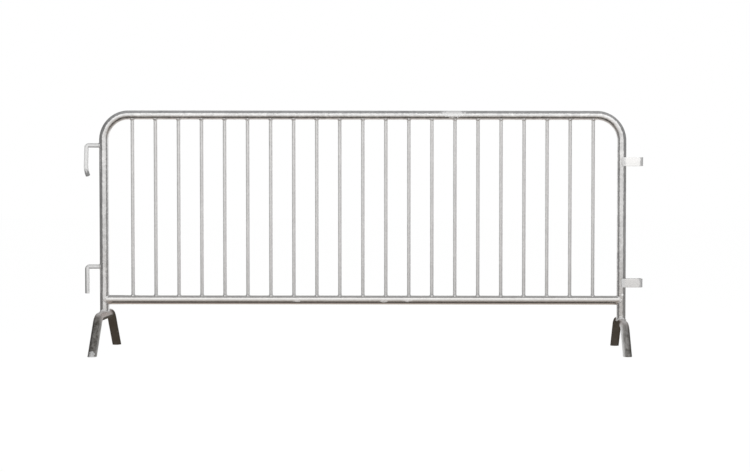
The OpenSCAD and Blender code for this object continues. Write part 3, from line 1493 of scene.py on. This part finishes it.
@dataclass(frozen=True)
class SaddleBead:
    """A rippled bead round a bar or tube that stands on the side of another tube."""

    rod: float
    tube: float
    size: float
    lowest: float = 0.0
    fuller: float = 0.0
    longer: float = 0.0
    height: float = 0.8
    width: float = 1.05
    pitch: float = 0.0038
    depth: float = 0.18
    broad_swell: float = 0.07
    short_swell: float = 0.05
    sides: int = 10
    samples: int = 4
    step: ClassVar[float] = 0.01
    plain_ring: ClassVar[float] = 0.25
    typical_ripple: ClassVar[float] = 0.75

    def line(self, turn: float) -> tuple[Vector, Vector]:
        """A point of the corner that the bead fills, and the way out of that corner.

        Args:
            turn: The angle round the rod, from the tube's direction.

        Returns:
            The point, with the rod along Z and the tube along X, and the way out.
        """
        across = self.rod * math.sin(turn)
        rise = max(half_chord(self.tube, across), self.lowest)
        off_rod = Vector((math.cos(turn), math.sin(turn), 0))
        off_tube = Vector((0, across, rise)).normalized()
        return off_rod * self.rod + UP * rise, (off_rod + off_tube).normalized()

    def lay(self, place: Vector, ripples: int) -> Vector:
        """Where a vertex of a plain ring of radius 1 lies on the bead.

        Args:
            place: The vertex on the plain ring.
            ripples: The number of ripples round the bead.

        Returns:
            Its place on the bead, with the rod along Z and the tube along X.
        """
        turn = math.atan2(place.y, place.x)
        section = math.atan2(place.z, math.hypot(place.x, place.y) - 1)
        point, out = self.line(turn)
        along = self.line(turn + self.step)[0] - self.line(turn - self.step)[0]
        side = out.cross(along.normalized())
        ripple = scallop(turn / (2 * math.pi) * ripples) - self.typical_ripple
        swell = self.broad_swell * math.sin(3 * turn + 1) + self.short_swell * math.sin(5 * turn)
        swell += self.fuller * math.sin(turn) ** 4 + self.longer * math.cos(turn) ** 4
        size = self.size * (1 + self.depth * ripple + swell)
        height, width = self.height * math.cos(section), self.width * math.sin(section)
        return point + size * (height * out + width * side)

    def model(self, origin: Vector, rod: Vector, tube: Vector) -> Piece:
        """Shape a ring into the bead.

        Args:
            origin: The point where the two axes meet.
            rod: The direction of the standing bar.
            tube: The direction of the tube that it stands on.

        Returns:
            The bead.
        """
        ripples = round(2 * math.pi * self.rod / self.pitch)
        Workbench.clear()
        bpy.ops.mesh.primitive_torus_add(
            major_segments=ripples * self.samples,
            minor_segments=self.sides,
            major_radius=1.0,
            minor_radius=self.plain_ring,
        )
        bead = Workbench.open_primitive("saddle_bead")
        stand = Matrix((tube, rod.cross(tube), rod)).transposed()
        Workbench.reshape(bead, lambda place: origin + stand @ self.lay(place, ripples))
        Workbench.face_outwards()
        return Workbench.settle(bead)


@dataclass(frozen=True)
class SeamBead:
    """A short, straight, rippled bead along Z."""

    length: float
    size: float
    pitch: float = 0.0038
    depth: float = 0.1
    fullness: int = 6
    sides: int = 12
    samples: int = 4

    def lay(self, place: Vector) -> Vector:
        """Where a vertex of a plain ball of radius 1 lies on the bead.

        Args:
            place: The vertex on the plain ball.

        Returns:
            Its place on the bead, counted from the bead's middle.
        """
        share = 1 - 2 * math.acos(max(-1.0, min(1.0, place.z))) / math.pi
        z = share * self.length / 2
        taper = math.sqrt(max(0.0, 1 - share**self.fullness))
        ripple = self.depth * (scallop(z / self.pitch) - SaddleBead.typical_ripple)
        flat = Vector((place.x, place.y, 0))
        if flat.length > Workbench.MERGE:
            flat = flat.normalized() * self.size * taper * (1 + ripple)
        return Vector((flat.x, flat.y, z))

    def model(self, place: Vector) -> Piece:
        """Shape a ball into the bead.

        Args:
            place: The bead's middle.

        Returns:
            The bead.
        """
        rings = round(self.length / self.pitch) * self.samples
        Workbench.clear()
        bpy.ops.mesh.primitive_uv_sphere_add(segments=self.sides, ring_count=rings, radius=1.0)
        bead = Workbench.open_primitive("seam_bead")
        Workbench.reshape(bead, lambda vertex: place + self.lay(vertex))
        Workbench.face_outwards()
        return Workbench.settle(bead)


@dataclass
class Welds(Assembly):
    """The weld beads of every joint."""

    panel: Panel
    bar_nodes: Sequence[str]
    bead: float = 0.0034
    bar_bead_fuller: float = 1.0
    heavy_bead: float = 0.004
    rail_bead_fuller: float = -0.5
    rail_bead_height: float = 0.5
    rail_bead_width: float = 1.5
    rail_bead_depth: float = 0.06
    foot_bead_longer: float = 1.2
    end_bead: float = 0.003
    wedge_bead: float = 0.0025
    wedge: float = 0.0105
    wedge_inset: float = 0.93
    dulled: Patch = Patch(Vector((0.05, 0.05, 0.03)), 0.6, colour=(0.3, 0.29, 0.28))
    white_run: Patch = Patch(Vector((0.011, 0.014, 0.016)), 0.8, Vector((0, -0.004, 0)))
    slot: ClassVar[str] = "welds"

    def build(self) -> dict[str, Piece]:
        """Model the beads of each kind of joint as one piece.

        Returns:
            The pieces by their nodes.
        """
        panel = self.panel
        beads = {
            "bar_top_welds": self.bar_beads(panel.top_z, panel.frame_radius, -UP),
            "bar_bottom_welds": self.bar_beads(panel.rail_z, panel.rail_radius, UP),
            "rail_welds": self.rail_beads(),
            "foot_welds": self.foot_beads(),
            "hook_welds": self.hook_beads(),
            "loop_welds": self.loop_beads(),
        }
        return {node: Workbench.join(parts, finished_name(node)) for node, parts in beads.items()}

    def bar_beads(self, rail_z: float, rail_radius: float, rod: Vector) -> list[Piece]:
        """Model one bead at a bar's end and copy it to every bar, turned round at every other one.

        Args:
            rail_z: The height of the rail's axis.
            rail_radius: The rail's radius.
            rod: The direction from the rail to the bar.

        Returns:
            The beads.
        """
        kind = SaddleBead(
            self.panel.bar_radius, rail_radius, self.bead, fuller=self.bar_bead_fuller
        )
        bead = kind.model(UP * rail_z, rod, RIGHT)
        turns = Matrix.Identity(4), Matrix.Rotation(math.pi, 4, UP)
        beads = []
        for index, bar in enumerate(self.bar_nodes):
            place = Matrix.Translation(RIGHT * middle(bar).x)
            beads.append(Workbench.copy(bead, f"bead_{index}", place @ turns[index % 2]))
        bpy.data.objects.remove(bead)
        return beads

    def rail_beads(self) -> list[Piece]:
        """Model the beads where the bottom rail meets the posts.

        Returns:
            The beads.
        """
        panel = self.panel
        kind = SaddleBead(
            panel.rail_radius,
            panel.frame_radius,
            self.heavy_bead,
            fuller=self.rail_bead_fuller,
            height=self.rail_bead_height,
            width=self.rail_bead_width,
            depth=self.rail_bead_depth,
        )
        return [kind.model(end, rod, UP) for end, rod in zip(panel.rail_ends, (RIGHT, -RIGHT))]

    def foot_beads(self) -> list[Piece]:
        """Model the beads where the posts stand on the feet.

        Returns:
            The beads.
        """
        panel = self.panel
        kind = SaddleBead(
            panel.frame_radius,
            panel.foot_radius,
            self.heavy_bead,
            lowest=panel.post_end,
            longer=self.foot_bead_longer,
        )
        return [kind.model(axis, UP, BACK) for axis in panel.foot_axes]

    def hook_beads(self) -> list[Piece]:
        """Model the beads where the hooks meet the left post."""
        kind = SaddleBead(self.panel.hook_radius, self.panel.frame_radius, self.bead)
        return [kind.model(self.panel.hook_root(node), -RIGHT, UP) for node in HOOK_NODES]

    def loop_beads(self) -> list[Piece]:
        """Model the beads at the ends of the loops' strips and in the wedges behind them.

        Returns:
            The beads.
        """
        right_x, strip = self.panel.right_x, self.panel.strip
        beads = []
        for node in LOOP_NODES:
            low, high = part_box(node)
            z = middle(node).z
            length = high.z - low.z - 2 * self.bead
            for y in (low.y + strip, high.y - strip):
                at_end = Vector((right_x, y, z))
                behind = Vector((right_x + self.wedge, self.wedge_inset * y, z))
                beads.append(SeamBead(length, self.end_bead).model(at_end))
                beads.append(SeamBead(length, self.wedge_bead).model(behind))
        return beads

    def finish(self) -> Material:
        """Thick, bright zinc over the ripples, dulled at the feet but white under the posts' fronts.

        Returns:
            The material.
        """
        panel = self.panel
        ends = [axis + UP * panel.foot_radius for axis in panel.foot_axes]
        dulled = [self.dulled.at(end) for end in ends]
        runs = [self.white_run.at(end - BACK * panel.frame_radius) for end in ends]
        return ZincFinish(
            "weld_zinc",
            light=grey(0.93),
            dark=grey(0.76),
            grime=grey(0.5),
            flake=0.004,
            roughness=0.4,
            grime_share=0.1,
            patches=dulled + runs,
        ).material()


@dataclass(frozen=True)
class Glow:
    """A broad glow of the studio's walls around one direction."""

    towards: Vector
    low: float
    high: float
    gain: float


@dataclass(frozen=True)
class LightPanel:
    """An upright panel of light across Y, which the metal mirrors and the eye doesn't see."""

    name: str
    y: float
    left: float
    right: float
    low: float
    high: float
    light: float
    fade_low: float
    fade_high: float
    right_fade: float
    low_colour: Colour = WHITE
    high_colour: Colour = WHITE
    tint_low: float = 0.0
    tint_high: float = 1.0


@dataclass(frozen=True)
class Studio:
    """A pale floor, soft studio light and the camera at the photograph's angle."""

    camera_place: Vector = Vector((0.3058, -7.0693, 0.7524))
    camera_tilt: float = 0.0319
    camera_roll: float = 0.001
    focal_pixels: float = 1542.8
    axis_pixel: float = 430.3
    sensor: float = 36.0
    floor_size: float = 60.0
    floor_glow: float = 0.955
    floor_light: float = 1.03
    floor_colour: Colour = grey(0.9)
    wall_light: float = 0.27
    ground_colour: Colour = (1.0, 0.92, 0.86)
    ground_span: Span = (-0.5, 0.1)
    glows: Sequence[Glow] = (
        Glow(Vector((0.0, 0.0, 1.0)), 0.3, 0.9, 0.12),
        Glow(Vector((-1.0, 0.0, 0.0)), 0.3, 0.9, -0.08),
        Glow(Vector((0.0, 0.45, -0.89)), 0.6, 0.95, 0.3),
        Glow(Vector((0.0, -0.6, -0.8)), 0.55, 0.95, -0.25),
    )
    panels: Sequence[LightPanel] = (
        LightPanel(
            "front_light",
            y=-2.8,
            left=-2.95,
            right=4.3,
            low=-3.2,
            high=3.9,
            light=1.26,
            fade_low=-3.0,
            fade_high=2.6,
            right_fade=1.2,
            low_colour=(1.0, 0.83, 0.69),
            high_colour=(1.0, 0.995, 0.985),
            tint_low=-2.6,
            tint_high=0.6,
        ),
        LightPanel(
            "back_light",
            y=1.2,
            left=-1.35,
            right=2.0,
            low=-0.4,
            high=1.7,
            light=0.95,
            fade_low=-1.0,
            fade_high=-0.4,
            right_fade=0.1,
        ),
    )

    def set_camera(self) -> None:
        """Put the camera where the photograph was taken."""
        data = bpy.data.cameras.new("camera")
        data.sensor_width = self.sensor
        data.lens = self.focal_pixels / IMAGE_WIDTH * self.sensor
        data.shift_x = (IMAGE_WIDTH / 2 - self.axis_pixel) / IMAGE_WIDTH
        camera = bpy.data.objects.new("camera", data)
        tilt = Matrix.Rotation(QUARTER - self.camera_tilt, 4, RIGHT)
        roll = Matrix.Rotation(self.camera_roll, 4, UP)
        camera.matrix_world = Matrix.Translation(self.camera_place) @ tilt @ roll
        bpy.context.scene.collection.objects.link(camera)
        bpy.context.scene.camera = camera

    @staticmethod
    def plane(name: str, size: float, place: Vector, turn: float) -> tuple[Piece, NodeDesk]:
        """Add a plane with an empty material.

        Args:
            name: The plane's name.
            size: The length of its sides.
            place: Its middle.
            turn: How far it is turned about X.

        Returns:
            The plane, staged, and the desk of its material.
        """
        Workbench.clear()
        bpy.ops.mesh.primitive_plane_add(size=size, location=place, rotation=(turn, 0, 0))
        plane = bpy.context.active_object
        plane.name = name
        material = bpy.data.materials.new(name)
        material.use_nodes = True
        plane.data.materials.append(material)
        plane.visible_shadow = False
        return plane, NodeDesk(material.node_tree)

    def lay_floor(self) -> None:
        """Lay the floor, which the eye sees and the metal doesn't mirror."""
        floor, desk = self.plane("floor", self.floor_size, Vector(), 0)
        floor.visible_glossy = False
        white = desk.add("ShaderNodeBsdfDiffuse")
        white.inputs["Color"].default_value = (*self.floor_colour, 1)
        glow = desk.light("ShaderNodeEmission", WHITE, self.floor_light)
        desk.show("ShaderNodeOutputMaterial", desk.mix(self.floor_glow, white.outputs[0], glow))

    def hang(self, panel: LightPanel) -> None:
        """Hang a light panel that fades downwards and at its right side.

        Args:
            panel: The panel.
        """
        place = Vector(((panel.left + panel.right) / 2, panel.y, (panel.low + panel.high) / 2))
        sheet, desk = self.plane(panel.name, 1, place, QUARTER)
        sheet.scale = (panel.right - panel.left, panel.high - panel.low, 1)
        sheet.visible_camera = False
        position = desk.add("ShaderNodeNewGeometry").outputs["Position"]
        height, along = desk.along(position, "Z"), desk.along(position, "X")
        fade = desk.between(height, panel.fade_low, panel.fade_high, panel.light)
        side = desk.between(along, panel.right, panel.right - panel.right_fade)
        warmth = desk.between(height, panel.tint_low, panel.tint_high)
        tint = desk.ramp(warmth, [(0, panel.low_colour), (1, panel.high_colour)])
        glow = desk.light("ShaderNodeEmission", tint, desk.all_of(fade, side))
        desk.show("ShaderNodeOutputMaterial", glow)

    def light_walls(self) -> None:
        """Light the studio's walls by direction, warmer from below, and white to the eye."""
        world = bpy.data.worlds.new("studio")
        bpy.context.scene.world = world
        world.use_nodes = True
        desk = NodeDesk(world.node_tree)
        direction = desk.add("ShaderNodeTexCoord").outputs["Generated"]
        total: Value = self.wall_light
        for glow in self.glows:
            facing = desk.move("DOT_PRODUCT", direction, glow.towards.normalized())["Value"]
            total = desk.sum_up("ADD", desk.between(facing, glow.low, glow.high, glow.gain), total)
        level = desk.between(desk.along(direction, "Z"), *self.ground_span)
        tint = desk.ramp(level, [(0, self.ground_colour), (1, WHITE)])
        lights = desk.light("ShaderNodeBackground", tint, total)
        white = desk.light("ShaderNodeBackground", WHITE, 1.0)
        seen = desk.add("ShaderNodeLightPath").outputs["Is Camera Ray"]
        desk.show("ShaderNodeOutputWorld", desk.mix(seen, lights, white))
        bpy.context.scene.view_settings.view_transform = "Standard"


def main() -> None:
    """Load the frame, build and dress each sub-assembly, and set the studio."""
    logging.basicConfig(level=logging.INFO, format="%(message)s")
    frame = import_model()
    bars = sorted(name for name in frame["nodes"] if name[-2:].isdigit())
    panel = Panel.measured(bars[0])
    studio = Studio()
    studio.set_camera()
    assemblies = (
        FrameTube(panel),
        BottomRail(panel),
        UprightBars(panel, bars),
        UpperHook(panel),
        LowerHook(panel),
        Loops(panel),
        Feet(panel),
        Welds(panel, bars),
    )
    for assembly in assemblies:
        assembly.install()
    studio.lay_floor()
    for light in studio.panels:
        studio.hang(light)
    studio.light_walls()


if __name__ == "__main__":
    main()
